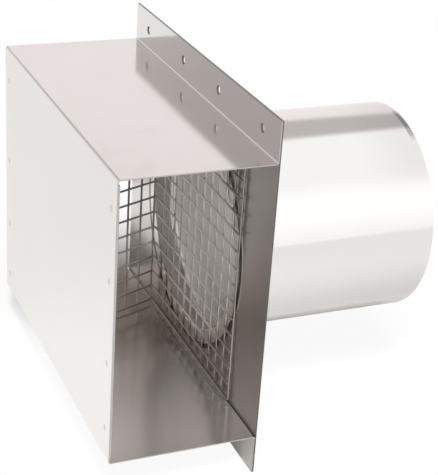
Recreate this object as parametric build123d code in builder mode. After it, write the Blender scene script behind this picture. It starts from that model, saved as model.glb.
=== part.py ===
"""Vent termination box: a folded hood on a flat back plate, with an outlet pipe and a bird screen.

Sizes are in millimetres. The origin lies on the pipe's axis, at the wall face of the back plate.
The hood stands out along -Y, the pipe runs along +Y, the two open sides face +X and -X, and +Z is up.
"""

import os

from build123d import *

os.makedirs("parts", exist_ok=True)

# Outlet pipe
PIPE_DIAMETER = 152.4  # outside, a nominal 6 inch flue
PIPE_LENGTH = 152.0  # from the wall face to the plain end
PIPE_WALL = 0.6
LIP_WIDTH = 13.0  # flared lip that seats on the inside of the back plate
MOUTH_EASE = 0.4  # bevel at the turn from the bore to the lip
PIPE_CLEARANCE = 0.6  # round the pipe, in the hole of the back plate
LIP_BEND = 0.3  # bevel at the root of the lip, inside that clearance

# Hood and back plate
SHEET = 0.8  # hood sheet
PLATE_SHEET = 0.8  # back plate sheet
BOX_DEPTH = 103.4  # wall face to front face
HEIGHT_MARGIN = 22.3  # pipe to the outside of the top and the bottom
SIDE_MARGIN = 52.8  # pipe to the open ends
FLANGE_WIDTH = 27.5  # how far each fixing flange stands past the box
BEND_RADIUS = 1.0  # inside radius of the folds

# Hems along the two upright edges of the front
HEM_WIDTH = 16.0  # sheet returned behind the front
HEM_GAP = 0.4  # between the front and the returned sheet
HEM_END = 4.0  # from the top and bottom of the box to the ends of a hem
HEM_RELIEF = 1.0  # notch past each end of a hem
WELD_DIAMETER = 3.2  # spot welds that close the hems
WELD_INSET = 9.6  # from an open end to its row of welds
WELD_DIMPLE = 0.12  # depth of the electrode mark
WELDS_LEFT = (0.79, 0.12, -0.43, -0.89)  # heights, as shares of half a hem
WELDS_RIGHT = (0.81, 0.30, -0.31, -0.81)

# Fixing holes, one row through each flange and the plate behind it
HOLE_DIAMETER = 6.0
HOLE_END = 25.5  # from an open end to the outer hole
HOLE_INNER_SPACING = 64.0  # between the two inner holes of a row

# Bird screen
WIRE = 1.2
SCREEN_CLEARANCE = 2.45  # above and below, inside the hood
SCREEN_SHIFT = 9.0  # of the screen along the lip, towards +X
SCREEN_BEND = 1.5  # inside radius of the upright fold
WING_LENGTH = 50.8  # part that is turned forward
WING_LEAN = 22.0  # degrees that the wing leans in over the mouth
FLAT_COLUMNS = 10
WING_COLUMNS = 3
ROWS = 12

# Sizes that follow from those above
pipe_radius = PIPE_DIAMETER / 2
box_height = PIPE_DIAMETER + 2 * HEIGHT_MARGIN
box_width = PIPE_DIAMETER + 2 * SIDE_MARGIN
plate_height = box_height + 2 * FLANGE_WIDTH
hem_height = box_height - 2 * HEM_END

# Middle planes of the folded sheet
front_y = -BOX_DEPTH + SHEET / 2
flange_y = -PLATE_SHEET - SHEET / 2
wall_z = box_height / 2 - SHEET / 2
flange_tip_z = plate_height / 2


# One pattern of fixing holes, shared by the hood and the back plate
with BuildSketch(Plane.XZ) as fixing_holes:
    row_spacing = box_height + FLANGE_WIDTH
    with GridLocations(box_width - 2 * HOLE_END, row_spacing, 2, 2):
        Circle(HOLE_DIAMETER / 2)
    with GridLocations(HOLE_INNER_SPACING, row_spacing, 2, 2):
        Circle(HOLE_DIAMETER / 2)


with BuildPart() as hood:
    # One strip folded four times: flange, top, front, bottom, flange
    with BuildSketch(Plane.YZ):
        with BuildLine():
            FilletPolyline(
                (flange_y, flange_tip_z),
                (flange_y, wall_z),
                (front_y, wall_z),
                (front_y, -wall_z),
                (flange_y, -wall_z),
                (flange_y, -flange_tip_z),
                radius=BEND_RADIUS + SHEET / 2,
            )
        trace(line_width=SHEET)
    extrude(amount=box_width / 2, both=True)
    extrude(fixing_holes.sketch, amount=PLATE_SHEET + 2 * SHEET, mode=Mode.SUBTRACT)
    # The front's upright edges are notched, and the sheet there is folded back as a hem
    hem_bend = (SHEET + HEM_GAP) / 2
    fold_x = box_width / 2 - hem_bend - SHEET / 2
    with BuildSketch(Plane.XZ.offset(BOX_DEPTH)):
        with GridLocations(box_width + 2 * fold_x, 0, 2, 1):
            Rectangle(box_width - 2 * fold_x, hem_height + 2 * HEM_RELIEF)
    extrude(amount=-SHEET, mode=Mode.SUBTRACT)
    with BuildSketch(Plane.XY.offset(-hem_height / 2)):
        with BuildLine():
            fold = JernArc(start=(fold_x, front_y), tangent=(1, 0), radius=hem_bend, arc_size=180)
            Line(fold @ 1, fold @ 1 - (HEM_WIDTH, 0))
        trace(line_width=SHEET)
        mirror(about=Plane.YZ)
    extrude(amount=hem_height)
    # Each spot weld of a hem leaves a shallow round mark outside
    with BuildSketch(Plane.XZ.offset(BOX_DEPTH)):
        weld_x = box_width / 2 - WELD_INSET
        with Locations(*[(-weld_x, share * hem_height / 2) for share in WELDS_LEFT]):
            Circle(WELD_DIAMETER / 2)
        with Locations(*[(weld_x, share * hem_height / 2) for share in WELDS_RIGHT]):
            Circle(WELD_DIAMETER / 2)
    extrude(amount=-WELD_DIMPLE, mode=Mode.SUBTRACT)


with BuildPart() as back_plate:
    with BuildSketch(Plane.XZ):
        Rectangle(box_width, plate_height)
        Circle(pipe_radius + PIPE_CLEARANCE, mode=Mode.SUBTRACT)
    extrude(amount=PLATE_SHEET)
    extrude(fixing_holes.sketch, amount=PLATE_SHEET, mode=Mode.SUBTRACT)


with BuildPart() as outlet_pipe:
    # Section of the wall: the plain end, the outside, the lip on the back plate, and the eased mouth
    bore_radius = pipe_radius - PIPE_WALL
    lip_radius = pipe_radius + LIP_WIDTH
    lip_face = -PLATE_SHEET - PIPE_WALL
    with BuildSketch(Plane.XY):
        with BuildLine():
            Polyline(
                (bore_radius, PIPE_LENGTH),
                (pipe_radius, PIPE_LENGTH),
                (pipe_radius, LIP_BEND - PLATE_SHEET),
                (pipe_radius + LIP_BEND, -PLATE_SHEET),
                (lip_radius, -PLATE_SHEET),
                (lip_radius, lip_face),
                (bore_radius + MOUTH_EASE, lip_face),
                (bore_radius, lip_face + MOUTH_EASE),
                close=True,
            )
        make_face()
    revolve(axis=Axis.Y)


with BuildPart() as bird_screen:
    # A flat panel against the lip, as wide as the pipe, whose far end is folded forward as a wing
    screen_y = -PLATE_SHEET - PIPE_WALL - WIRE / 2
    screen_height = box_height - 2 * (SHEET + SCREEN_CLEARANCE)
    bend_mid = SCREEN_BEND + WIRE / 2
    panel_start = SCREEN_SHIFT + pipe_radius
    panel_end = SCREEN_SHIFT - pipe_radius + bend_mid
    with BuildSketch(Plane.XY.offset(-screen_height / 2)):
        with BuildLine():
            panel = Line((panel_start, screen_y), (panel_end, screen_y))
            bend = JernArc(panel @ 1, tangent=panel % 1, radius=bend_mid, arc_size=90 + WING_LEAN)
            wing = Line(bend @ 1, bend @ 1 + (bend % 1) * WING_LENGTH)
        trace(line_width=WIRE)
    extrude(amount=screen_height)
    # Openings of the panel
    pitch_up = (screen_height - WIRE) / ROWS
    panel_span = panel_start - panel_end - WIRE
    panel_pitch = panel_span / FLAT_COLUMNS
    with BuildSketch(Plane(origin=panel @ 0.5, x_dir=(1, 0, 0), z_dir=(0, -1, 0))):
        with GridLocations(panel_pitch, pitch_up, FLAT_COLUMNS, ROWS):
            Rectangle(panel_pitch - WIRE, pitch_up - WIRE)
    extrude(amount=WIRE, both=True, mode=Mode.SUBTRACT)
    # Openings of the wing
    wing_pitch = (WING_LENGTH - WIRE) / WING_COLUMNS
    wing_dir = wing % 0.5
    with BuildSketch(Plane(origin=wing @ 0.5, x_dir=wing_dir, z_dir=wing_dir.rotate(Axis.Z, 90))):
        with GridLocations(wing_pitch, pitch_up, WING_COLUMNS, ROWS):
            Rectangle(wing_pitch - WIRE, pitch_up - WIRE)
    extrude(amount=WIRE, both=True, mode=Mode.SUBTRACT)


hood.part.label = "hood"
back_plate.part.label = "back_plate"
outlet_pipe.part.label = "outlet_pipe"
bird_screen.part.label = "bird_screen"

export_step(hood.part, "parts/hood.step")
export_step(back_plate.part, "parts/back_plate.step")
export_step(outlet_pipe.part, "parts/outlet_pipe.step")
export_step(bird_screen.part, "parts/bird_screen.step")
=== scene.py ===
# %% [markdown]
# # A stainless vent termination box
#
# The box ends a flue outside a wall. A folded hood stands on a flat back plate, a round pipe leaves the
# back, and a piece of wire mesh keeps birds out of the pipe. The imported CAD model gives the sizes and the
# places. This script gives the sheets their finish, turns the pipe again, draws the mesh as real wires and
# sets up the studio. Everything is in metres, with the origin on the pipe's axis at the wall face of the
# back plate.

# %% Load the frame
import math

import bpy
import numpy as np
from mathutils import Matrix, Vector


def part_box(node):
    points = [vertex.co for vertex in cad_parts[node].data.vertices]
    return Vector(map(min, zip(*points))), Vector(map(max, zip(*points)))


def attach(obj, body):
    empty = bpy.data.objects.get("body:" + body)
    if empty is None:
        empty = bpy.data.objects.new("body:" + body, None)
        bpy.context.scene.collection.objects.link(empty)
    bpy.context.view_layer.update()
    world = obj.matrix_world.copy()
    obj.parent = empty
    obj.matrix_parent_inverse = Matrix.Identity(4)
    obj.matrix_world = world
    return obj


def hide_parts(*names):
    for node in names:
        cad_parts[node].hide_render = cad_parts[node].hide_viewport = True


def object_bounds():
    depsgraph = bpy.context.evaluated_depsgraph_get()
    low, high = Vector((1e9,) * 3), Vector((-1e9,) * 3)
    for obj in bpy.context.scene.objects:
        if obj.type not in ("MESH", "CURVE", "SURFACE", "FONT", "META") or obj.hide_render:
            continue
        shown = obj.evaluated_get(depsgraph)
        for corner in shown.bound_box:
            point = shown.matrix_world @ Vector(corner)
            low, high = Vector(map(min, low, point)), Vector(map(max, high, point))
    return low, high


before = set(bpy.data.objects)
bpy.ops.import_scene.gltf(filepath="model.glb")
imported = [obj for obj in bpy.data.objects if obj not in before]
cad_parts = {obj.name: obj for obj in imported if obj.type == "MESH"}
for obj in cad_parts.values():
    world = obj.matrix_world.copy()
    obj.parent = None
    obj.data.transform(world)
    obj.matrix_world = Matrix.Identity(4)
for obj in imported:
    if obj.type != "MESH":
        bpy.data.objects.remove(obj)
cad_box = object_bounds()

scene = bpy.context.scene
scene.view_settings.view_transform = "Standard"
MM = 0.001
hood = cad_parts["hood"]
back_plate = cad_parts["back_plate"]
print("pieces of the frame:", sorted(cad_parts))
print("box of the frame in metres:", [[round(c, 4) for c in corner] for corner in cad_box])

# %% [markdown]
# ## Camera
#
# A photograph can be matched by guessing a lens and moving the camera until the edges line up, or by
# solving for it. Here the corners of the box and the outlines of the pipe were solved for together, which
# gave a long lens, a place to the right of and above the front, and a roll of a few degrees.

# %% Set the camera
CAMERA_PLACE = Vector((0.7928, -0.3354, 0.3986))
CAMERA_AIM = Vector((0.1446, -0.0443, 0.0620))
CAMERA_ROLL = math.radians(3.966)
LENS_MM = 100.57
SENSOR_MM = 36.0  # laid along the longer side of the picture
NEAREST_SEEN = 0.01

camera = bpy.data.objects.new("camera", bpy.data.cameras.new("camera"))
scene.collection.objects.link(camera)
camera.data.lens = LENS_MM
camera.data.sensor_width = SENSOR_MM
camera.data.clip_start = NEAREST_SEEN
gaze = (CAMERA_AIM - CAMERA_PLACE).to_track_quat("-Z", "Y").to_matrix().to_4x4()
camera.matrix_world = Matrix.Translation(CAMERA_PLACE) @ gaze @ Matrix.Rotation(CAMERA_ROLL, 4, "Z")
scene.camera = camera
print("camera looks along", [round(c, 3) for c in (CAMERA_AIM - CAMERA_PLACE).normalized()])

# %% [markdown]
# ## Shader maths as Python expressions
#
# A finish is a small graph of nodes. Wiring it by hand takes many lines, so a node's output is wrapped in
# a class whose operators add Math nodes. `1 - mask` then reads as what it does. Any other node comes from
# `node`, which sets the node's own settings first and then fills its inputs with values or links.


# %% Wrap sockets
class Socket:
    """One output of a shader node. Sums, products and powers of sockets and numbers become Math nodes."""

    def __init__(self, tree, output):
        self.tree = tree
        self.output = output

    def math(self, operation, first, second):
        """A Math node on two values."""
        return node(self.tree, "ShaderNodeMath", {"operation": operation}, {0: first, 1: second})

    def __add__(self, other):
        return self.math("ADD", self, other)

    def __radd__(self, other):
        return self.math("ADD", other, self)

    def __sub__(self, other):
        return self.math("SUBTRACT", self, other)

    def __rsub__(self, other):
        return self.math("SUBTRACT", other, self)

    def __mul__(self, other):
        return self.math("MULTIPLY", self, other)

    def __rmul__(self, other):
        return self.math("MULTIPLY", other, self)

    def __pow__(self, other):
        return self.math("POWER", self, other)


def fill(tree, entry, value):
    """Links a wrapped socket to an input, or writes a number, a vector or an opaque colour on it."""
    if isinstance(value, Socket):
        tree.links.new(value.output, entry)
    elif entry.type == "RGBA":
        entry.default_value = (*value, 1.0)
    else:
        entry.default_value = value


def node(tree, kind, settings=None, inputs=None, output=0):
    """Adds a node, applies its settings, fills its inputs, and returns one of its outputs wrapped."""
    made = tree.nodes.new(kind)
    for name, value in (settings or {}).items():
        setattr(made, name, value)
    for name, value in (inputs or {}).items():
        fill(tree, made.inputs[name], value)
    return Socket(tree, made.outputs[output])


print("sockets can be added, subtracted, multiplied and raised to a power")

# %% [markdown]
# Some steps come back in every finish: a soft step from 0 to 1, a band between two soft steps, a blend of
# two colours, the place on the object, and noise. Each gets a short name here, so that a finish reads like
# a list of what was done to the metal.


# %% Name the common steps
def smooth(value, low, high):
    """0 below low, 1 above high, and an S-shaped rise between them."""
    return node(
        value.tree,
        "ShaderNodeMapRange",
        {"interpolation_type": "SMOOTHSTEP"},
        {"Value": value, "From Min": low, "From Max": high},
    )


def band(value, rise, fall):
    """1 between two soft steps, each given by its start and its end."""
    return smooth(value, *rise) * (1 - smooth(value, *fall))


def absolute(value):
    """The value without its sign."""
    return node(value.tree, "ShaderNodeMath", {"operation": "ABSOLUTE"}, {0: value})


def blend_colour(share, first, second):
    """The first colour where share is 0, the second where it is 1.

    A Mix node has one set of sockets for each kind of value. Inputs 6 and 7 and output 2 are its colours.
    """
    entries = {0: share, 6: first, 7: second}
    return node(share.tree, "ShaderNodeMix", {"data_type": "RGBA"}, entries, output=2)


def split_xyz(vector):
    """The three components of a wrapped vector."""
    parts = node(vector.tree, "ShaderNodeSeparateXYZ", None, {0: vector}).output.node.outputs
    return tuple(Socket(vector.tree, part) for part in parts)


def object_place(tree):
    """The place on the object, in metres from its origin."""
    return node(tree, "ShaderNodeTexCoord", output="Object")


def noise(tree, scale, detail=2.0, roughness=0.5):
    """Noise from 0 to 1 whose cells are one metre divided by the scale along each axis."""
    stretched = node(tree, "ShaderNodeMapping", None, {"Vector": object_place(tree), "Scale": scale})
    entries = {"Vector": stretched, "Scale": 1.0, "Detail": detail, "Roughness": roughness}
    return node(tree, "ShaderNodeTexNoise", None, entries)


def bump(height, strength, distance):
    """A normal that is tilted as if the surface rose by a height times a distance."""
    entries = {"Strength": strength, "Distance": distance, "Height": height}
    return node(height.tree, "ShaderNodeBump", None, entries)


shared_steps = (smooth, band, absolute, blend_colour, split_xyz, object_place, noise, bump)
print("steps that finishes share:", ", ".join(step.__name__ for step in shared_steps))

# %% [markdown]
# Every material starts from the shader that Blender makes for it. What is the same all over is set on the
# shader's own sockets, and what changes from place to place is linked to them.


# %% Start a material
def feed(tree, shader, looks):
    """Fills several inputs of a shader, given by their names."""
    for entry, value in looks.items():
        fill(tree, shader.inputs[entry], value)


def plain_material(name):
    """A new material with Blender's usual shader. Returns the material, its tree and the shader."""
    material = bpy.data.materials.new(name)
    material.use_nodes = True
    return material, material.node_tree, material.node_tree.nodes["Principled BSDF"]


def steel(name):
    """A new bare metal. Returns the material, its tree and its shader."""
    material, tree, shader = plain_material(name)
    feed(tree, shader, {"Metallic": 1.0})
    return material, tree, shader


print("materials start from", plain_material.__name__, "or from", steel.__name__)

# %% [markdown]
# ## Studio
#
# Polished steel shows little colour of its own. What one sees on it is the room, so the studio does most
# of the work: white walls, a slightly warmer wall on the left with a dim patch high on it, and a white
# floor. Such a room could be built from panels. Painting it on the world by direction is simpler, and it
# stays put when the camera moves. Three kinds of rays get three answers: the camera sees plain white,
# reflections see the painted room, and the light that fills the shadows comes from overhead only, so that
# they stay dark.

# %% Paint the room by direction
PLAIN_WHITE = (1.0, 1.0, 1.0)
ROOM_WHITE = (1.10, 1.09, 1.08)
ROOM_LEFT = (0.985, 0.92, 0.91)
ROOM_DIM = (0.59, 0.55, 0.54)
ROOM_FILL = (0.28, 0.275, 0.27)
DARK = (0.0, 0.0, 0.0)
LEFT_WALL = (0.30, 0.44)  # how far a direction leans to -X where the left wall begins and is full
DIM_HEIGHT = 0.375  # how far it leans up at the lower edge of the dim patch
DIM_CLIMB = 0.31  # how much that edge climbs towards the back
DIM_EDGE = (-0.10, 0.06)  # soft edge of the patch, below and above that line
OVERHEAD = (0.45, 0.80)  # how far it leans up where the filling light begins and is full

world = bpy.data.worlds.new("studio_room")
scene.world = world
world.use_nodes = True
room = world.node_tree
to_right, to_back, to_top = split_xyz(node(room, "ShaderNodeTexCoord", output="Generated"))
on_left = smooth(0 - to_right, *LEFT_WALL)
above = smooth(to_top - (DIM_HEIGHT + DIM_CLIMB * to_back), *DIM_EDGE)
walls = blend_colour(on_left, ROOM_WHITE, ROOM_LEFT)
walls = blend_colour(on_left * above, walls, ROOM_DIM)
overhead = blend_colour(smooth(to_top, *OVERHEAD), DARK, ROOM_FILL)
mirrored = node(room, "ShaderNodeLightPath", output="Is Glossy Ray")
seen = node(room, "ShaderNodeLightPath", output="Is Camera Ray")
answer = blend_colour(seen, blend_colour(mirrored, overhead, walls), PLAIN_WHITE)
feed(room, room.nodes["Background"], {"Color": answer, "Strength": 1.0})
print("room: white", ROOM_WHITE, "left", ROOM_LEFT, "dim", ROOM_DIM)

# %% [markdown]
# Two lamps light the floor, and reflections don't show them. Area lamps near the box would do, but a sun's
# light is even over the whole floor, and only its direction has to be found. The stronger one stands to
# the right, more than halfway up, and throws the box's shadow to the left, where the open side of the
# box looks down on it. That shadow is why the inside of the box is dark. The weaker one stands farther
# round to the front and softens the shadow.

# %% Place the lamps
LAMP_SOFT = math.radians(7.0)
LAMPS = (  # name, turn from +X towards the front, height, both in degrees, and strength
    ("lamp_right", 18.8, 57.0, 2.25),
    ("lamp_front", 30.0, 50.0, 1.15),
)

for name, turn, height, strength in LAMPS:
    lamp = bpy.data.objects.new(name, bpy.data.lights.new(name, "SUN"))
    scene.collection.objects.link(lamp)
    lamp.data.energy = strength
    lamp.data.angle = LAMP_SOFT
    turn, height = math.radians(turn), math.radians(height)
    flat = math.cos(height)
    from_lamp = Vector((flat * math.cos(turn), -flat * math.sin(turn), math.sin(height)))
    lamp.rotation_euler = from_lamp.to_track_quat("Z", "Y").to_euler()
    lamp.visible_glossy = False
    print(name, "shines from", [round(c, 3) for c in from_lamp])

# %% [markdown]
# The floor is a wide plain sheet of white. A brighter lamp would burn it out to a clean background, but
# would burn out the steel too. So the camera sees mostly a white glow in its place, which still lets a
# soft shadow through. Reflections see the floor as it is, and so does the camera in one soft spot beside
# the open left side, which shows through the box.

# %% Lay the floor
FLOOR_HALF = 1.1
FLOOR_GAP = 0.4 * MM
FLOOR_WHITE = (0.90, 0.89, 0.88)
CLEAN_SHARE = 0.93  # how much of the floor's shading the camera doesn't see
SHADE_SPOT = (-0.175, -0.01)  # middle of the spot where the camera sees all of the shading
SHADE_REACH = 0.14


def flat_sheet(name, corners):
    """A stage object of one four-sided face, given by its corners in order."""
    mesh = bpy.data.meshes.new(name)
    mesh.from_pydata(np.asarray(corners).tolist(), [], [(0, 1, 2, 3)])
    sheet = bpy.data.objects.new(name, mesh)
    scene.collection.objects.link(sheet)
    return sheet


floor_level = cad_box[0][2] - FLOOR_GAP
square = np.array([[-1, -1], [1, -1], [1, 1], [-1, 1]]) * FLOOR_HALF
floor = flat_sheet("floor", np.column_stack([square, np.full(4, floor_level)]))
floor_paint, paint, unused_shader = plain_material("floor_paint")
paint.nodes.remove(unused_shader)
matt = node(paint, "ShaderNodeBsdfDiffuse", None, {"Color": FLOOR_WHITE})
glow = node(paint, "ShaderNodeEmission", None, {"Color": PLAIN_WHITE, "Strength": 1.0})
camera_ray = node(paint, "ShaderNodeLightPath", output="Is Camera Ray")
floor_x, floor_y, _ = split_xyz(object_place(paint))
off_x, off_y = floor_x - SHADE_SPOT[0], floor_y - SHADE_SPOT[1]
bright_part = CLEAN_SHARE * smooth((off_x * off_x + off_y * off_y) ** 0.5, 0.0, SHADE_REACH)
coat = node(paint, "ShaderNodeMixShader", None, {0: camera_ray * bright_part, 1: matt, 2: glow})
feed(paint, paint.nodes["Material Output"], {"Surface": coat})
floor.data.materials.append(floor_paint)
print("floor at", round(floor_level, 4), "metres")

# %% [markdown]
# A photographer darkens part of a shiny thing by hanging a small dark flag where that part mirrors it. Two
# hang beside the open left side. The bottom of the box mirrors one straight, and the other by way of the
# back plate. The camera itself never sees them.

# %% Hang the flags
FLAG_X = -0.19
FLAGS = (  # name, range of y and range of z
    ("flag_front", (-0.09, 0.0), (-0.046, 0.033)),
    ("flag_back", (0.0, 0.03), (-0.070, 0.033)),
)
FLAG_BROWN = (0.47, 0.43, 0.375)
FLAG_DULL = 0.9

flag_cloth, cloth, cloth_shader = plain_material("flag_cloth")
feed(cloth, cloth_shader, {"Base Color": FLAG_BROWN, "Roughness": FLAG_DULL})
for name, (front, back), (low, high) in FLAGS:
    flag = flat_sheet(
        name, [(FLAG_X, front, low), (FLAG_X, back, low), (FLAG_X, back, high), (FLAG_X, front, high)]
    )
    flag.data.materials.append(flag_cloth)
    flag.visible_camera = False
    print(name, "hangs at x", FLAG_X)

# %% [markdown]
# ## Sheet steel of the hood and the back plate
#
# Both sheets keep their CAD meshes, because flat sheet with tight folds needs no finer surface, and only
# get a finish. One finish has to look different from place to place: outside, and inside with painted light
# and shade, dark where the sheet was punched or sheared, partly raw and partly painted shade in the holes,
# and with painted shade in the seams and on the flanges. The faces could be sorted by hand. It is simpler
# to ask each point where it lies, so the places are taken from the boxes of the CAD pieces.

# %% Find the places on the sheets
SHEET = -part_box("back_plate")[0][1]  # thickness of the plate and of the hood
FLANGE_WIDTH = 27.5 * MM
FOLD = 1.0 * MM  # inside radius of the folds
HOLE_ROW = 112.25 * MM  # height of a row of fixing holes
HOLE_OUTER, HOLE_INNER = 103.5 * MM, 32.0 * MM  # the holes of a row, from its middle
HOLE_R = 3.0 * MM
HOLE_EASE = (0.02 * MM, 0.2 * MM)  # past a hole's edge, where its raw wall ends
EDGE_EASE = (0.3 * MM, 0.1 * MM)  # before a long edge, where its raw side begins
END_EASE = (0.2 * MM, 0.1 * MM)  # the same before an open end
EASE = 0.15 * MM
SEAM_START = 1.2 * MM  # from the wall face, and from the middle of the top or the bottom
SEAM_WIDTH = 3.0 * MM

hood_low, hood_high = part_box("hood")
front_y = hood_low[1]
open_end = hood_high[0]
flange_tip = hood_high[2]
box_top = flange_tip - FLANGE_WIDTH
flange_from = box_top + FOLD
top_middle = box_top - SHEET / 2


def inside_the_box(y, z):
    """1 on faces that look into the box, 0 on the outer ones, told apart at the middle of each sheet."""
    front_middle, plate_middle = front_y + SHEET / 2, -SHEET / 2
    below_top = 1 - smooth(absolute(z), top_middle - EASE, top_middle + EASE)
    behind_front = smooth(y, front_middle - EASE, front_middle + EASE)
    before_back = 1 - smooth(y, plate_middle - EASE, plate_middle + EASE)
    return below_top * behind_front * before_back


def cut_edges_and_hole_walls(x, z):
    """1 on the walls of the fixing holes and on the long sheared edges, 0 on the faces of the sheet.

    The distance to the nearest hole comes from squares: the smaller one across, plus the one up.
    """
    up = absolute(z) - HOLE_ROW
    to_outer, to_inner = absolute(x) - HOLE_OUTER, absolute(x) - HOLE_INNER
    nearest = x.math("MINIMUM", to_outer * to_outer, to_inner * to_inner)
    off_hole = smooth((nearest + up * up) ** 0.5, HOLE_R + HOLE_EASE[0], HOLE_R + HOLE_EASE[1])
    off_edge = 1 - smooth(absolute(z), flange_tip - EDGE_EASE[0], flange_tip - EDGE_EASE[1])
    return 1 - off_hole * off_edge


def on_flange(height):
    """1 past the fold of a flange, for a height counted from the axis towards that flange."""
    return smooth(height, flange_from, flange_from + EASE)


def in_the_seam(y, z):
    """1 in the two corners where top and bottom meet the back plate, fading out along both sheets."""
    off_plate = smooth(0 - y, SEAM_START, SEAM_START + SEAM_WIDTH)
    off_top = smooth(top_middle - absolute(z), SEAM_START, SEAM_START + SEAM_WIDTH)
    return (1 - off_plate) * (1 - off_top)


print("front at y", round(front_y, 4), "top at z", round(box_top, 4), "open ends at x", round(open_end, 4))

# %% [markdown]
# The two sheets differ in their tints. Outside, each has two tints so close that they only keep a large
# face from looking dead. Inside, the tints are painted light and shade. Noise could vary a tone, but here
# the tone follows the place, so each sheet has a tint for its far end, its middle and its near end, and
# each of those one for higher up and one for low down.

# %% Choose the tints
# Dark tint of raw cut edges, which also paints shade in the hole walls and on the pipe lip's rim.
RAW_EDGE_AND_SHADE = (0.16, 0.15, 0.145)
SHEARED_END = (0.52, 0.505, 0.49)
# Painted shade darkens the seams where top and bottom meet the back plate.
SEAM_SHADE = (0.13, 0.115, 0.105)
SEAM_SHARE = 0.65
SEAM_FROM = (-80.0 * MM, -62.0 * MM)  # where the painted shade along the seams begins and is full
SEAM_FADE = (-40.0 * MM, 60.0 * MM)  # where it thins out and has gone
LOWER_FLANGE_SHADE = (0.65, 0.635, 0.62)  # painted shade on the lower flange, on which the box stands
UPPER_FLANGE_SHADE = (0.745, 0.72, 0.715)  # painted shade on the upper flange's near part
UPPER_FLANGE_SHADE_FROM = (-110.0 * MM, 60.0 * MM)
LOW_DOWN = (48.0 * MM, 66.0 * MM)  # below the pipe's axis, from the upper tints to the lower ones
TINT_SCALE = (7.0, 9.0, 8.0)
TINT_EDGE = (0.32, 0.68)

# The inside tints by place, far_end, middle and near_end, are painted light and shade.
HOOD_LOOK = {
    "outside": ((0.80, 0.79, 0.78), (0.79, 0.775, 0.765)),
    "far_end": ((0.66, 0.63, 0.61), (1.0, 0.95, 0.92)),
    "middle": ((0.66, 0.63, 0.61), (0.62, 0.59, 0.57)),
    "near_end": ((0.92, 0.89, 0.87), (0.92, 0.89, 0.87)),
    "to_far_end": (28.0 * MM, 62.0 * MM),
    "to_near_end": (20.0 * MM, 120.0 * MM),
    "open_end": SHEARED_END,
    "dull": 0.10,
    "dull_inside": 0.05,
}
PLATE_LOOK = {
    "outside": ((0.79, 0.78, 0.77), (0.78, 0.765, 0.755)),
    "far_end": ((0.86, 0.82, 0.80), (0.46, 0.43, 0.41)),
    "middle": ((0.84, 0.81, 0.80), (0.84, 0.785, 0.755)),
    "near_end": ((0.48, 0.455, 0.44), (0.45, 0.43, 0.415)),
    "to_far_end": (50.0 * MM, 72.0 * MM),
    "to_near_end": (-60.0 * MM, 95.0 * MM),
    "open_end": RAW_EDGE_AND_SHADE,
    "dull": 0.13,
    "dull_inside": 0.15,
}


def sheet_colour(tree, look, x, y, z, inside):
    """The tints of one sheet by place: outside, inside with painted light and shade, painted shade in the
    seams and on the flanges, and dark raw edges with painted shade in the hole walls.
    """
    outer = blend_colour(smooth(noise(tree, TINT_SCALE, 1.0), *TINT_EDGE), *look["outside"])
    # Inside, the tints by place paint light and shade.
    low = smooth(0 - z, *LOW_DOWN)
    inner = blend_colour(low, *look["middle"])
    inner = blend_colour(smooth(0 - x, *look["to_far_end"]), inner, blend_colour(low, *look["far_end"]))
    inner = blend_colour(smooth(x, *look["to_near_end"]), inner, blend_colour(low, *look["near_end"]))
    colour = blend_colour(inside, outer, inner)
    # Painted shade along the seams, fading towards the near end.
    seam_shade = SEAM_SHARE * band(x, SEAM_FROM, SEAM_FADE) * inside * in_the_seam(y, z)
    colour = blend_colour(seam_shade, colour, SEAM_SHADE)
    # Painted shade on the lower flange.
    colour = blend_colour(on_flange(0 - z), colour, LOWER_FLANGE_SHADE)
    # Painted shade on the near part of the upper flange.
    colour = blend_colour(on_flange(z) * smooth(x, *UPPER_FLANGE_SHADE_FROM), colour, UPPER_FLANGE_SHADE)
    at_end = smooth(absolute(x), open_end - END_EASE[0], open_end - END_EASE[1])
    colour = blend_colour(at_end, colour, look["open_end"])
    # Raw edges are dark, and the hole walls get painted shade.
    return blend_colour(cut_edges_and_hole_walls(x, z), colour, RAW_EDGE_AND_SHADE)


print("tints inside the hood:", HOOD_LOOK["middle"], "and the plate:", PLATE_LOOK["middle"])

# %% [markdown]
# Bright annealed sheet is smooth enough to mirror its surroundings, but rolling leaves a faint grain along
# the strip, handling leaves soft smudges, and a thin sheet is never quite flat. The grain and the smudges
# change the roughness, and slow waves in the normal bend the reflections a little. The lower flange is
# scuffed by the floor and mirrors nothing. A picture could carry such marks, but noise needs no file and
# no unwrapping, and it stays sharp however near the camera comes.

# %% Finish the sheets
GRAIN_SCALE = (14.0, 1500.0, 1500.0)  # long along X, fine across
SMUDGE_SCALE = (26.0, 31.0, 23.0)
SMUDGE_DETAIL, SMUDGE_ROUGH = 3.0, 0.6
SMUDGE_EDGE = (0.5, 0.75)
WAVE_SCALE = (9.0, 12.0, 11.0)
GRAIN_DULL, SMUDGE_DULL, SCUFF_DULL = 0.05, 0.06, 0.75  # what each adds to the roughness
GRAIN_RISE = 0.0035  # height of the grain, as a share of a wave's
SHEET_BUMP, SHEET_WAVE = 0.35, 1.2 * MM
FILM_INSIDE = 0.08  # share of the inside that dust keeps from being metal


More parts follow.
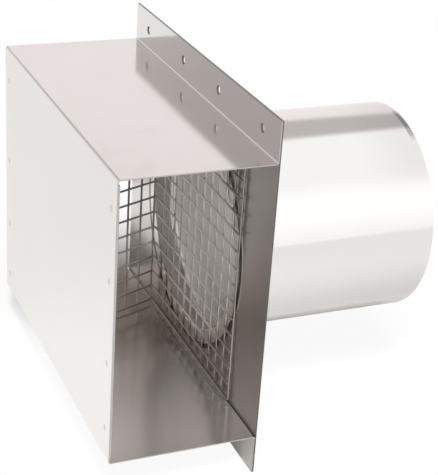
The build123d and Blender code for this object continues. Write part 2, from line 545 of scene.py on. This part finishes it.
def sheet_finish(name, look):
    """Rolled sheet: tints by place, a grain along X, smudges, a duller inside and slow waves."""
    material, tree, shader = steel(name)
    x, y, z = split_xyz(object_place(tree))
    inside = inside_the_box(y, z)
    grain = noise(tree, GRAIN_SCALE)
    smudge = smooth(noise(tree, SMUDGE_SCALE, SMUDGE_DETAIL, SMUDGE_ROUGH), *SMUDGE_EDGE)
    dull = look["dull"] + GRAIN_DULL * grain + SMUDGE_DULL * smudge + look["dull_inside"] * inside
    looks = {
        "Base Color": sheet_colour(tree, look, x, y, z, inside),
        "Roughness": dull + SCUFF_DULL * on_flange(0 - z),
        "Metallic": 1 - FILM_INSIDE * inside,
        "Normal": bump(noise(tree, WAVE_SCALE, 0.0) + GRAIN_RISE * grain, SHEET_BUMP, SHEET_WAVE),
    }
    feed(tree, shader, looks)
    return material


for sheet, name, look in ((hood, "hood_sheet", HOOD_LOOK), (back_plate, "plate_sheet", PLATE_LOOK)):
    sheet.data.materials.clear()
    sheet.data.materials.append(sheet_finish(name, look))
    print("finish of", sheet.name, "is", name)

# %% [markdown]
# ## Outlet pipe
#
# The pipe is a polished tube with a flared lip and a low ridge a little way into its mouth. The CAD solid
# is made of flat facets, and a mirror finish would show every one, so the section is turned again here
# with many steps, rounded edges and smooth normals. Turning a profile about an axis is the classic
# surface of two parameters: the way along the profile, and the angle. Blender's Screw modifier turns a
# profile too, but arrays show how points and faces are counted, and the wires are made from them as well.


# %% Make surfaces from arrays
def make_mesh(name, points, quads, caps=()):
    """A mesh object at the origin from an array of points, an array of quads and optional n-sided caps."""
    mesh = bpy.data.meshes.new(name)
    mesh.from_pydata(points.tolist(), [], quads.tolist() + list(caps))
    mesh.update()
    obj = bpy.data.objects.new(name, mesh)
    scene.collection.objects.link(obj)
    return obj


def turned(name, profile, steps):
    """A closed profile of (radius, y) points, turned about the Y axis: x = r cos a, z = r sin a."""
    angle = np.linspace(0.0, 2.0 * np.pi, steps, endpoint=False)
    radius, along = profile[:, :1], profile[:, 1:]
    y = np.broadcast_to(along, (len(profile), steps))
    rings = np.stack([radius * np.cos(angle), y, radius * np.sin(angle)], axis=-1)
    row, column = np.meshgrid(np.arange(len(profile)), np.arange(steps), indexing="ij")
    start, next_start = row * steps, (row + 1) % len(profile) * steps
    after = (column + 1) % steps
    quads = np.stack([start + column, start + after, next_start + after, next_start + column], axis=-1)
    return make_mesh(name, rings.reshape(-1, 3), quads.reshape(-1, 4))


def smooth_shaded(obj, angle=30.0):
    """Smooth normals, except across edges sharper than an angle."""
    obj.data.polygons.foreach_set("use_smooth", np.ones(len(obj.data.polygons), dtype=bool))
    obj.data.set_sharp_from_angle(angle=math.radians(angle))


print("surfaces come from", make_mesh.__name__, "and", turned.__name__)

# %% [markdown]
# The profile runs once round the wall of the tube: over the ridge, along the bore, round the plain end,
# back along the outside, out along the lip, round its edge, and in to the mouth. Its ends and edges are
# arcs, because a real sheet has no knife edges, and a rounded one catches a line of light.

# %% Turn the pipe
PIPE_R = 76.2 * MM
MOUTH_ROUND = 1.0 * MM
EDGE_ROUND = 0.2 * MM
RIDGE_Y = 12.9 * MM
RIDGE_HALF = 2.8 * MM
RIDGE_HEIGHT = 1.2 * MM
RIDGE_POINTS = 13
BORE_FROM, END_FROM = 0.2, 0.98  # shares of the pipe, past the ridge and before the rounded end
PIPE_STEPS = 288

pipe_low, pipe_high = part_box("outlet_pipe")
pipe_end = pipe_high[1]
lip_r = pipe_high[0]
lip_face = pipe_low[1]
plate_front = -SHEET
pipe_wall = plate_front - lip_face
bore = PIPE_R - pipe_wall


def arc(centre, radius, start, stop, count):
    """Points on a circular arc in the plane of a profile, angles in degrees."""
    angle = np.radians(np.linspace(start, stop, count))
    return np.column_stack([centre[0] + radius * np.cos(angle), centre[1] + radius * np.sin(angle)])


def straight(radius, start, stop, count):
    """Points of a profile along the axis, all at one radius."""
    return np.column_stack([np.full(count, radius), np.linspace(start, stop, count)])


# The ridge is a squared cosine: it leaves the bore and comes back to it without a kink.
across_ridge = np.linspace(-1.0, 1.0, RIDGE_POINTS)
ridge_r = bore - RIDGE_HEIGHT * np.cos(0.5 * np.pi * across_ridge) ** 2
pipe_profile = np.vstack(
    [
        np.column_stack([ridge_r, RIDGE_Y + RIDGE_HALF * across_ridge]),
        straight(bore, BORE_FROM * pipe_end, END_FROM * pipe_end, 4),
        arc((PIPE_R - pipe_wall / 2, pipe_end - pipe_wall / 2), pipe_wall / 2, 180, 0, 9),
        straight(PIPE_R, END_FROM * pipe_end, 0.0, 5),
        [(PIPE_R, plate_front), (lip_r - EDGE_ROUND, plate_front)],
        arc((lip_r - EDGE_ROUND, plate_front - EDGE_ROUND), EDGE_ROUND, 90, 0, 4)[1:],
        arc((lip_r - EDGE_ROUND, lip_face + EDGE_ROUND), EDGE_ROUND, 0, -90, 4),
        arc((bore + MOUTH_ROUND, lip_face + MOUTH_ROUND), MOUTH_ROUND, -90, -180, 8),
    ]
)
pipe = turned("outlet_pipe_turned", pipe_profile, PIPE_STEPS)
smooth_shaded(pipe)
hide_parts("outlet_pipe")
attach(pipe, "root")
print("pipe profile points:", len(pipe_profile), "faces:", len(pipe.data.polygons))

# %% [markdown]
# The mouth, the first stretch of the bore, is dull and darker with painted shade, and only the ridge's
# flank keeps its shine there, with a painted highlight broken into strokes. The bore is a little darker
# than the outside, and the lip's rim has a painted dark band for the shadow at its edge. As on the sheets,
# each
# point is asked where it lies: its distance from the axis tells the bore from the outside.

# %% Tint the inside of the pipe
MOUTH_END = (13.5 * MM, 14.5 * MM)  # where the stretch of painted shade in the bore ends
MOUTH_SHADE = (0.70, 0.665, 0.64)
LIP_TINT = (0.90, 0.86, 0.83)
LIP_RIM = (4.0 * MM, 3.2 * MM)  # before the lip's edge, where the painted dark band at its rim begins and is full
BORE_TINT = (0.80, 0.775, 0.76)
STROKE_HIGHLIGHT = (1.0, 0.99, 0.98)
STROKE_Y = 11.6 * MM  # middle of the painted highlight on the ridge's flank
STROKE_HALF = (0.64 * MM, 1.6 * MM)  # where the painted highlight thins out and has gone
STROKE_BREAKS = (0.42, 0.56)  # of the haze, which breaks the flank into strokes
BORE_EASE = (0.1, 0.6)  # shares of the wall between the bore and the outside
POLISH_SCALE = (60.0, 2600.0, 60.0)  # fine along the axis, so that the marks run round the tube
HAZE_SCALE = (18.0, 24.0, 18.0)

pipe_finish, tree, shader = steel("pipe_polish")
across, along, up = split_xyz(object_place(tree))
polish = noise(tree, POLISH_SCALE)
haze = noise(tree, HAZE_SCALE)
from_axis = (across * across + up * up) ** 0.5
in_bore = 1 - smooth(from_axis, bore + BORE_EASE[0] * pipe_wall, bore + BORE_EASE[1] * pipe_wall)
on_lip = 1 - smooth(along, lip_face, plate_front)
stroke = 1 - smooth(absolute(along - STROKE_Y), *STROKE_HALF)
in_mouth = (1 - stroke) * (1 - smooth(along, *MOUTH_END))
# Painted highlight on the ridge's flank, broken into strokes.
inner = blend_colour(stroke * smooth(haze, *STROKE_BREAKS), BORE_TINT, STROKE_HIGHLIGHT)
# Painted shade darkens the first stretch of the bore.
inner = blend_colour(in_mouth, inner, MOUTH_SHADE)
# Painted dark band for the shadow at the lip's rim.
at_rim = smooth(from_axis, lip_r - LIP_RIM[0], lip_r - LIP_RIM[1])
inner = blend_colour(on_lip, inner, blend_colour(at_rim, LIP_TINT, RAW_EDGE_AND_SHADE))
not_outside = 1 - (1 - in_bore) * (1 - on_lip)
print("bore radius", round(bore, 4), "lip radius", round(lip_r, 4))

# %% [markdown]
# Outside, the tube is polished round and round. Towards its underside it has painted shade and is less
# sharp, along its upper flank a clean bright band of painted highlight, on top near the plain end a painted
# grey shade, and on part of the end's edge a painted dark crescent of shade. More lamps could give some of
# this as reflections, but they would change the sheets as well, so it is painted in the finish.

# %% Polish the outside of the pipe
PIPE_LIGHT, PIPE_SHADE = (0.85, 0.845, 0.835), (0.83, 0.82, 0.81)
# Painted shade on the underside of the tube.
UNDER_SHADE = (0.60, 0.58, 0.57)
UNDER = (0.0, 52.0 * MM)  # below the axis
LOWEST = (42.0 * MM, 58.0 * MM)  # below the axis, where the tube is dull
LOWEST_LIFT = 0.2  # share of the painted underside shade that is taken back there
# Painted highlight along the tube's upper flank.
BAND_HIGHLIGHT = (0.92, 0.915, 0.91)
BAND_RISE, BAND_FALL = (12.0 * MM, 30.0 * MM), (40.0 * MM, 52.0 * MM)
# Painted grey shade on top of the tube near its plain end.
END_TOP_SHADE = (0.75, 0.74, 0.73)
END_TOP_ALONG, END_TOP_UP = (95.0 * MM, 150.0 * MM), (36.0 * MM, 56.0 * MM)
# Painted dark crescent of shade on part of the end's edge.
END_RIM_SHADE = (0.40, 0.395, 0.41)
END_RIM_ALONG, END_RIM_UP = (147.2 * MM, 148.6 * MM), (0.0, 10.0 * MM)
END_RIM_RISE, END_RIM_FALL = (2.0 * MM, 12.0 * MM), (32.0 * MM, 40.0 * MM)
MIRROR, POLISH_DULL, HAZE_DULL = 0.07, 0.05, 0.04  # roughness of the polish, and what marks add to it
HAZE_EDGE = (0.5, 0.7)
INNER_DULL, STROKE_SHINE, LOWEST_DULL = 0.26, 0.20, 0.30
RIPPLE_SCALE = (16.0, 11.0, 16.0)
SOOT = 0.3  # share of the bore that isn't bare metal
POLISH_RISE = 0.003
PIPE_BUMP, PIPE_WAVE = 0.3, 1.0 * MM

lowest = smooth(0 - up, *LOWEST)
outer = blend_colour(haze, PIPE_LIGHT, PIPE_SHADE)
# Painted shade towards the underside.
outer = blend_colour(smooth(0 - up, *UNDER) * (1 - LOWEST_LIFT * lowest), outer, UNDER_SHADE)
# Painted highlight in the bright band.
outer = blend_colour(band(up, BAND_RISE, BAND_FALL), outer, BAND_HIGHLIGHT)
# Painted shade on top near the plain end.
outer = blend_colour(smooth(along, *END_TOP_ALONG) * smooth(up, *END_TOP_UP), outer, END_TOP_SHADE)
# Painted shade on part of the end's rim.
shaded_end_rim = smooth(along, *END_RIM_ALONG) * band(across, END_RIM_RISE, END_RIM_FALL) * smooth(up, *END_RIM_UP)
outer = blend_colour(shaded_end_rim, outer, END_RIM_SHADE)
dull = MIRROR + POLISH_DULL * polish + HAZE_DULL * smooth(haze, *HAZE_EDGE)
dull = dull + (INNER_DULL - STROKE_SHINE * stroke) * not_outside
ripple = noise(tree, RIPPLE_SCALE, 0.0) + POLISH_RISE * polish
looks = {
    "Base Color": blend_colour(not_outside, outer, inner),
    "Roughness": dull + LOWEST_DULL * lowest * (1 - not_outside),
    "Metallic": 1 - SOOT * in_bore,
    "Normal": bump(ripple, PIPE_BUMP, PIPE_WAVE),
}
feed(tree, shader, looks)
pipe.data.materials.append(pipe_finish)
print("finish of the pipe has", len(tree.nodes), "nodes")

# %% [markdown]
# ## Spot welds
#
# The front's upright edges are folded back as hems, and a row of spot welds holds each one. An electrode
# leaves a shallow dish with a low rim. That could be a bump in the finish, but a real dish keeps its form
# from every side, so each mark is a small round surface laid on the front.

# %% Press the weld marks
HEM_END = 4.0 * MM  # from the top of the box to the end of a hem
WELD_INSET = 9.6 * MM  # from an open end to its row of welds
WELDS_LEFT = (0.79, 0.12, -0.43, -0.89)  # heights as shares of half the hem
WELDS_RIGHT = (0.81, 0.30, -0.31, -0.81)
MARK_R = 2.4 * MM
MARK_HOLE = 0.04  # share of the radius that the small middle face takes
RIM_R = 1.7 * MM
RIM_WIDTH = 0.35 * MM
RIM_HEIGHT = 0.14 * MM
DISH_DEPTH = 0.09 * MM
MARK_RINGS = 13
MARK_STEPS = 32


def weld_marks(name, centres):
    """Dished discs on the front, as functions of radius r and angle a round each centre.

    The height is a bell-shaped rim at RIM_R, less a parabolic dish inside it.
    """
    r = np.linspace(MARK_HOLE, 1.0, MARK_RINGS) * MARK_R
    a = np.linspace(0.0, 2.0 * np.pi, MARK_STEPS, endpoint=False)
    dish = DISH_DEPTH * np.clip(1.0 - (r / RIM_R) ** 2, 0.0, None)
    height = RIM_HEIGHT * np.exp(-(((r - RIM_R) / RIM_WIDTH) ** 2)) - dish
    x = centres[:, 0, None, None] + r[:, None] * np.cos(a)
    z = centres[:, 1, None, None] + r[:, None] * np.sin(a)
    y = np.broadcast_to(front_y - height[:, None], x.shape)
    base = np.arange(len(centres))[:, None, None] * MARK_RINGS * MARK_STEPS
    column = np.arange(MARK_STEPS)
    after = (column + 1) % MARK_STEPS
    inner = base + np.arange(MARK_RINGS - 1)[:, None] * MARK_STEPS
    outer = inner + MARK_STEPS
    quads = np.stack([inner + column, outer + column, outer + after, inner + after], axis=-1)
    middles = (base[:, 0] + column).tolist()
    return make_mesh(name, np.stack([x, y, z], axis=-1).reshape(-1, 3), quads.reshape(-1, 4), middles)


half_hem = box_top - HEM_END
weld_x = open_end - WELD_INSET
weld_side = np.repeat([-weld_x, weld_x], [len(WELDS_LEFT), len(WELDS_RIGHT)])
weld_height = np.concatenate([WELDS_LEFT, WELDS_RIGHT]) * half_hem
marks = weld_marks("hood_weld_marks", np.column_stack([weld_side, weld_height]))
smooth_shaded(marks)
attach(marks, "root")
print("weld marks:", len(weld_side))

# %% [markdown]
# The heat of a weld leaves the steel a little darker and duller than the sheet round it, in fine blotches.
# The marks could share the hood's finish, but then the rims would be lost in its reflections.

# %% Tint the weld marks
WELD_LIGHT, WELD_DARK = (0.72, 0.70, 0.685), (0.60, 0.575, 0.56)
WELD_DULL, BLOTCH_DULL = 0.24, 0.12
BLOTCH_SCALE = (700.0, 700.0, 700.0)

mark_finish, tree, shader = steel("weld_mark")
heat = noise(tree, BLOTCH_SCALE)
looks = {
    "Base Color": blend_colour(heat, WELD_LIGHT, WELD_DARK),
    "Roughness": WELD_DULL + BLOTCH_DULL * heat,
}
feed(tree, shader, looks)
marks.data.materials.append(mark_finish)
print("finish of the weld marks has", len(tree.nodes), "nodes")

# %% [markdown]
# ## Bird screen
#
# Welded mesh is two layers of straight wire, one upright and one level, joined where they cross. The level
# wires were folded with the sheet, so each follows the same path: along the lip, round the fold, and out
# along the wing. The path is a function of the length along it, so that every upright wire can be placed
# by its distance from the near end.

# %% Lay the path of the mesh
WIRE = 1.6 * MM
PITCH = 12.7 * MM
WING_LEAN = math.radians(22.0)
WING_LENGTH = 50.8 * MM
SCREEN_FOLD = 2.1 * MM  # radius of the fold, at the middle of the mesh

screen_low, screen_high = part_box("bird_screen")
near_end = screen_high[0]
screen_shift = near_end - PIPE_R
screen_mid = lip_face - WIRE
fold_turn = math.pi / 2 + WING_LEAN
flat_length = 2 * PIPE_R - SCREEN_FOLD
fold_length = SCREEN_FOLD * fold_turn
path_length = flat_length + fold_length + WING_LENGTH


def along_screen(s, offset):
    """Plan position at length s along the mesh from its near end, pushed sideways by an offset.

    The path runs straight to -X, turns left through a quarter turn and the lean, and goes straight on.
    The heading angle is 180 degrees on the panel and grows round the fold.
    """
    turn = np.clip((s - flat_length) / SCREEN_FOLD, 0.0, fold_turn)
    heading = np.pi + turn
    past = np.clip(s - flat_length - fold_length, 0.0, None)
    x = near_end - np.minimum(s, flat_length) - SCREEN_FOLD * np.sin(turn) + past * np.cos(heading)
    y = screen_mid - SCREEN_FOLD * (1.0 - np.cos(turn)) + past * np.sin(heading)
    left = np.stack([-np.sin(heading), np.cos(heading)], axis=-1)
    return np.stack([x, y], axis=-1) + offset * left, heading


print("mesh is", round(path_length, 4), "metres long and", round(screen_high[2] - screen_low[2], 4), "high")

# %% [markdown]
# A wire is a small circle carried along its path. Curves with a bevel would do it too, but as an array all
# wires of a layer are worked out at once. The two layers lie on either side of the mesh's middle and touch
# where they cross.

# %% Draw the wires
WIRE_SIDES = 10
FOLD_STOPS = 9
WIRE_SHARP = 50.0  # degrees, more than between two sides of a wire and less than at its cut ends


def tubes(name, paths, side_a, side_b):
    """Wires as rings: each point of each path gets a circle spanned by two unit side vectors."""
    wires, stops = paths.shape[:2]
    angle = np.linspace(0.0, 2.0 * np.pi, WIRE_SIDES, endpoint=False)[:, None]
    ring = np.cos(angle) * side_a[..., None, :] + np.sin(angle) * side_b[..., None, :]
    points = paths[..., None, :] + WIRE / 2 * ring
    first = np.arange(wires)[:, None] * stops * WIRE_SIDES
    column = np.arange(WIRE_SIDES)
    start = (first + np.arange(stops - 1) * WIRE_SIDES)[..., None]
    here, after = start + column, start + (column + 1) % WIRE_SIDES
    quads = np.stack([here, after, after + WIRE_SIDES, here + WIRE_SIDES], axis=-1)
    caps = np.vstack([first + column[::-1], first + (stops - 1) * WIRE_SIDES + column])
    return make_mesh(name, points.reshape(-1, 3), quads.reshape(-1, 4), caps.tolist())


columns = int(path_length / PITCH) + 1
upright_plan, _ = along_screen(np.arange(columns) * PITCH + WIRE / 2, -WIRE / 2)
upright = np.empty((columns, 2, 3))
upright[..., :2] = upright_plan[:, None, :]
upright[..., 2] = screen_low[2], screen_high[2]
unit_x, unit_y, unit_z = np.eye(3)[:, None, None, :]
upright_wires = tubes("screen_upright_wires", upright, unit_x, unit_y)

rows = round((screen_high[2] - screen_low[2]) / PITCH) + 1
fold_stops = np.linspace(flat_length, flat_length + fold_length, FOLD_STOPS)
level_plan, heading = along_screen(np.concatenate([[0.0], fold_stops, [path_length]]), WIRE / 2)
level = np.empty((rows, len(level_plan), 3))
level[..., :2] = level_plan
level[..., 2] = np.linspace(screen_low[2] + WIRE / 2, screen_high[2] - WIRE / 2, rows)[:, None]
sideways = np.stack([-np.sin(heading), np.cos(heading), np.zeros_like(heading)], axis=-1)
level_wires = tubes("screen_level_wires", level, sideways[None], unit_z)
print("screen:", columns, "upright wires,", rows, "level wires")

# %% [markdown]
# Drawn wire is duller than the sheet, with fine marks all over. Its tints by place are painted light and
# shade. Before the pipe's mouth it is pale with painted light, and greyer towards the far side with painted
# shade. Elsewhere it is dark with painted shade, and less so low down and at the near end. Both layers
# share one finish, so a wire changes its tint where it leaves the mouth, not where it ends.

# %% Finish the wires
# The wire tints by place paint light and shade: pale before the mouth, greyer towards its far side, dark
# elsewhere.
WIRE_LIT, WIRE_LIT_WORN = (0.80, 0.78, 0.76), (0.69, 0.67, 0.65)
WIRE_FAR_SHADE = (0.50, 0.475, 0.46)
FAR_SIDE = (-5.0 * MM, 40.0 * MM)  # towards -X, where the wire before the mouth gets its painted far shade
WIRE_SHADE, WIRE_PALER = (0.24, 0.225, 0.21), (0.57, 0.53, 0.50)
PANEL_EDGE = (3.5 * MM, 2.0 * MM)  # before the middle of the flat panel, where the fold leaves it
MOUTH_EDGE = (8.0 * MM, 4.0 * MM)  # inside and outside the pipe's radius
PALER_LOW = (10.0 * MM, 45.0 * MM)  # below the axis, where the painted shade thins out
PALER_NEAR = (30.0 * MM, 70.0 * MM)  # towards +X, where it thins out too
PANEL_SHADE = 0.4  # share of the painted shade that stays low on the flat panel
NEAR_SHARE = 0.4  # share of the painted shade that goes at the near end
WIRE_DULL, DRAW_DULL = 0.26, 0.16
DRAW_SCALE = (900.0, 900.0, 900.0)
TARNISH_SCALE = (60.0, 60.0, 40.0)

wire_finish, tree, shader = steel("drawn_wire")
x, y, z = split_xyz(object_place(tree))
draw_marks = noise(tree, DRAW_SCALE)
tarnish = noise(tree, TARNISH_SCALE)
on_panel = smooth(y, screen_mid - PANEL_EDGE[0], screen_mid - PANEL_EDGE[1])
beside = x - screen_shift
off_centre = (beside * beside + z * z) ** 0.5
over_mouth = on_panel * (1 - smooth(off_centre, PIPE_R - MOUTH_EDGE[0], PIPE_R + MOUTH_EDGE[1]))
# Painted light on the wires before the mouth, with painted shade towards the far side.
bright_part = blend_colour(tarnish, WIRE_LIT, WIRE_LIT_WORN)
bright_part = blend_colour(smooth(0 - x, *FAR_SIDE), bright_part, WIRE_FAR_SHADE)
# Painted shade on the wires elsewhere, lighter low down and at the near end.
paler_low = (1 - PANEL_SHADE * on_panel) * smooth(0 - z, *PALER_LOW)
paler = 1 - (1 - paler_low) * (1 - NEAR_SHARE * smooth(x, *PALER_NEAR))
shaded_wire = blend_colour(paler, WIRE_SHADE, WIRE_PALER)
looks = {
    "Base Color": blend_colour(over_mouth, shaded_wire, bright_part),
    "Roughness": WIRE_DULL + DRAW_DULL * draw_marks,
}
feed(tree, shader, looks)
for wires in (upright_wires, level_wires):
    smooth_shaded(wires, WIRE_SHARP)
    wires.data.materials.append(wire_finish)
    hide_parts("bird_screen")
    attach(wires, "root")
    print(wires.name, "has", len(wires.data.polygons), "faces")
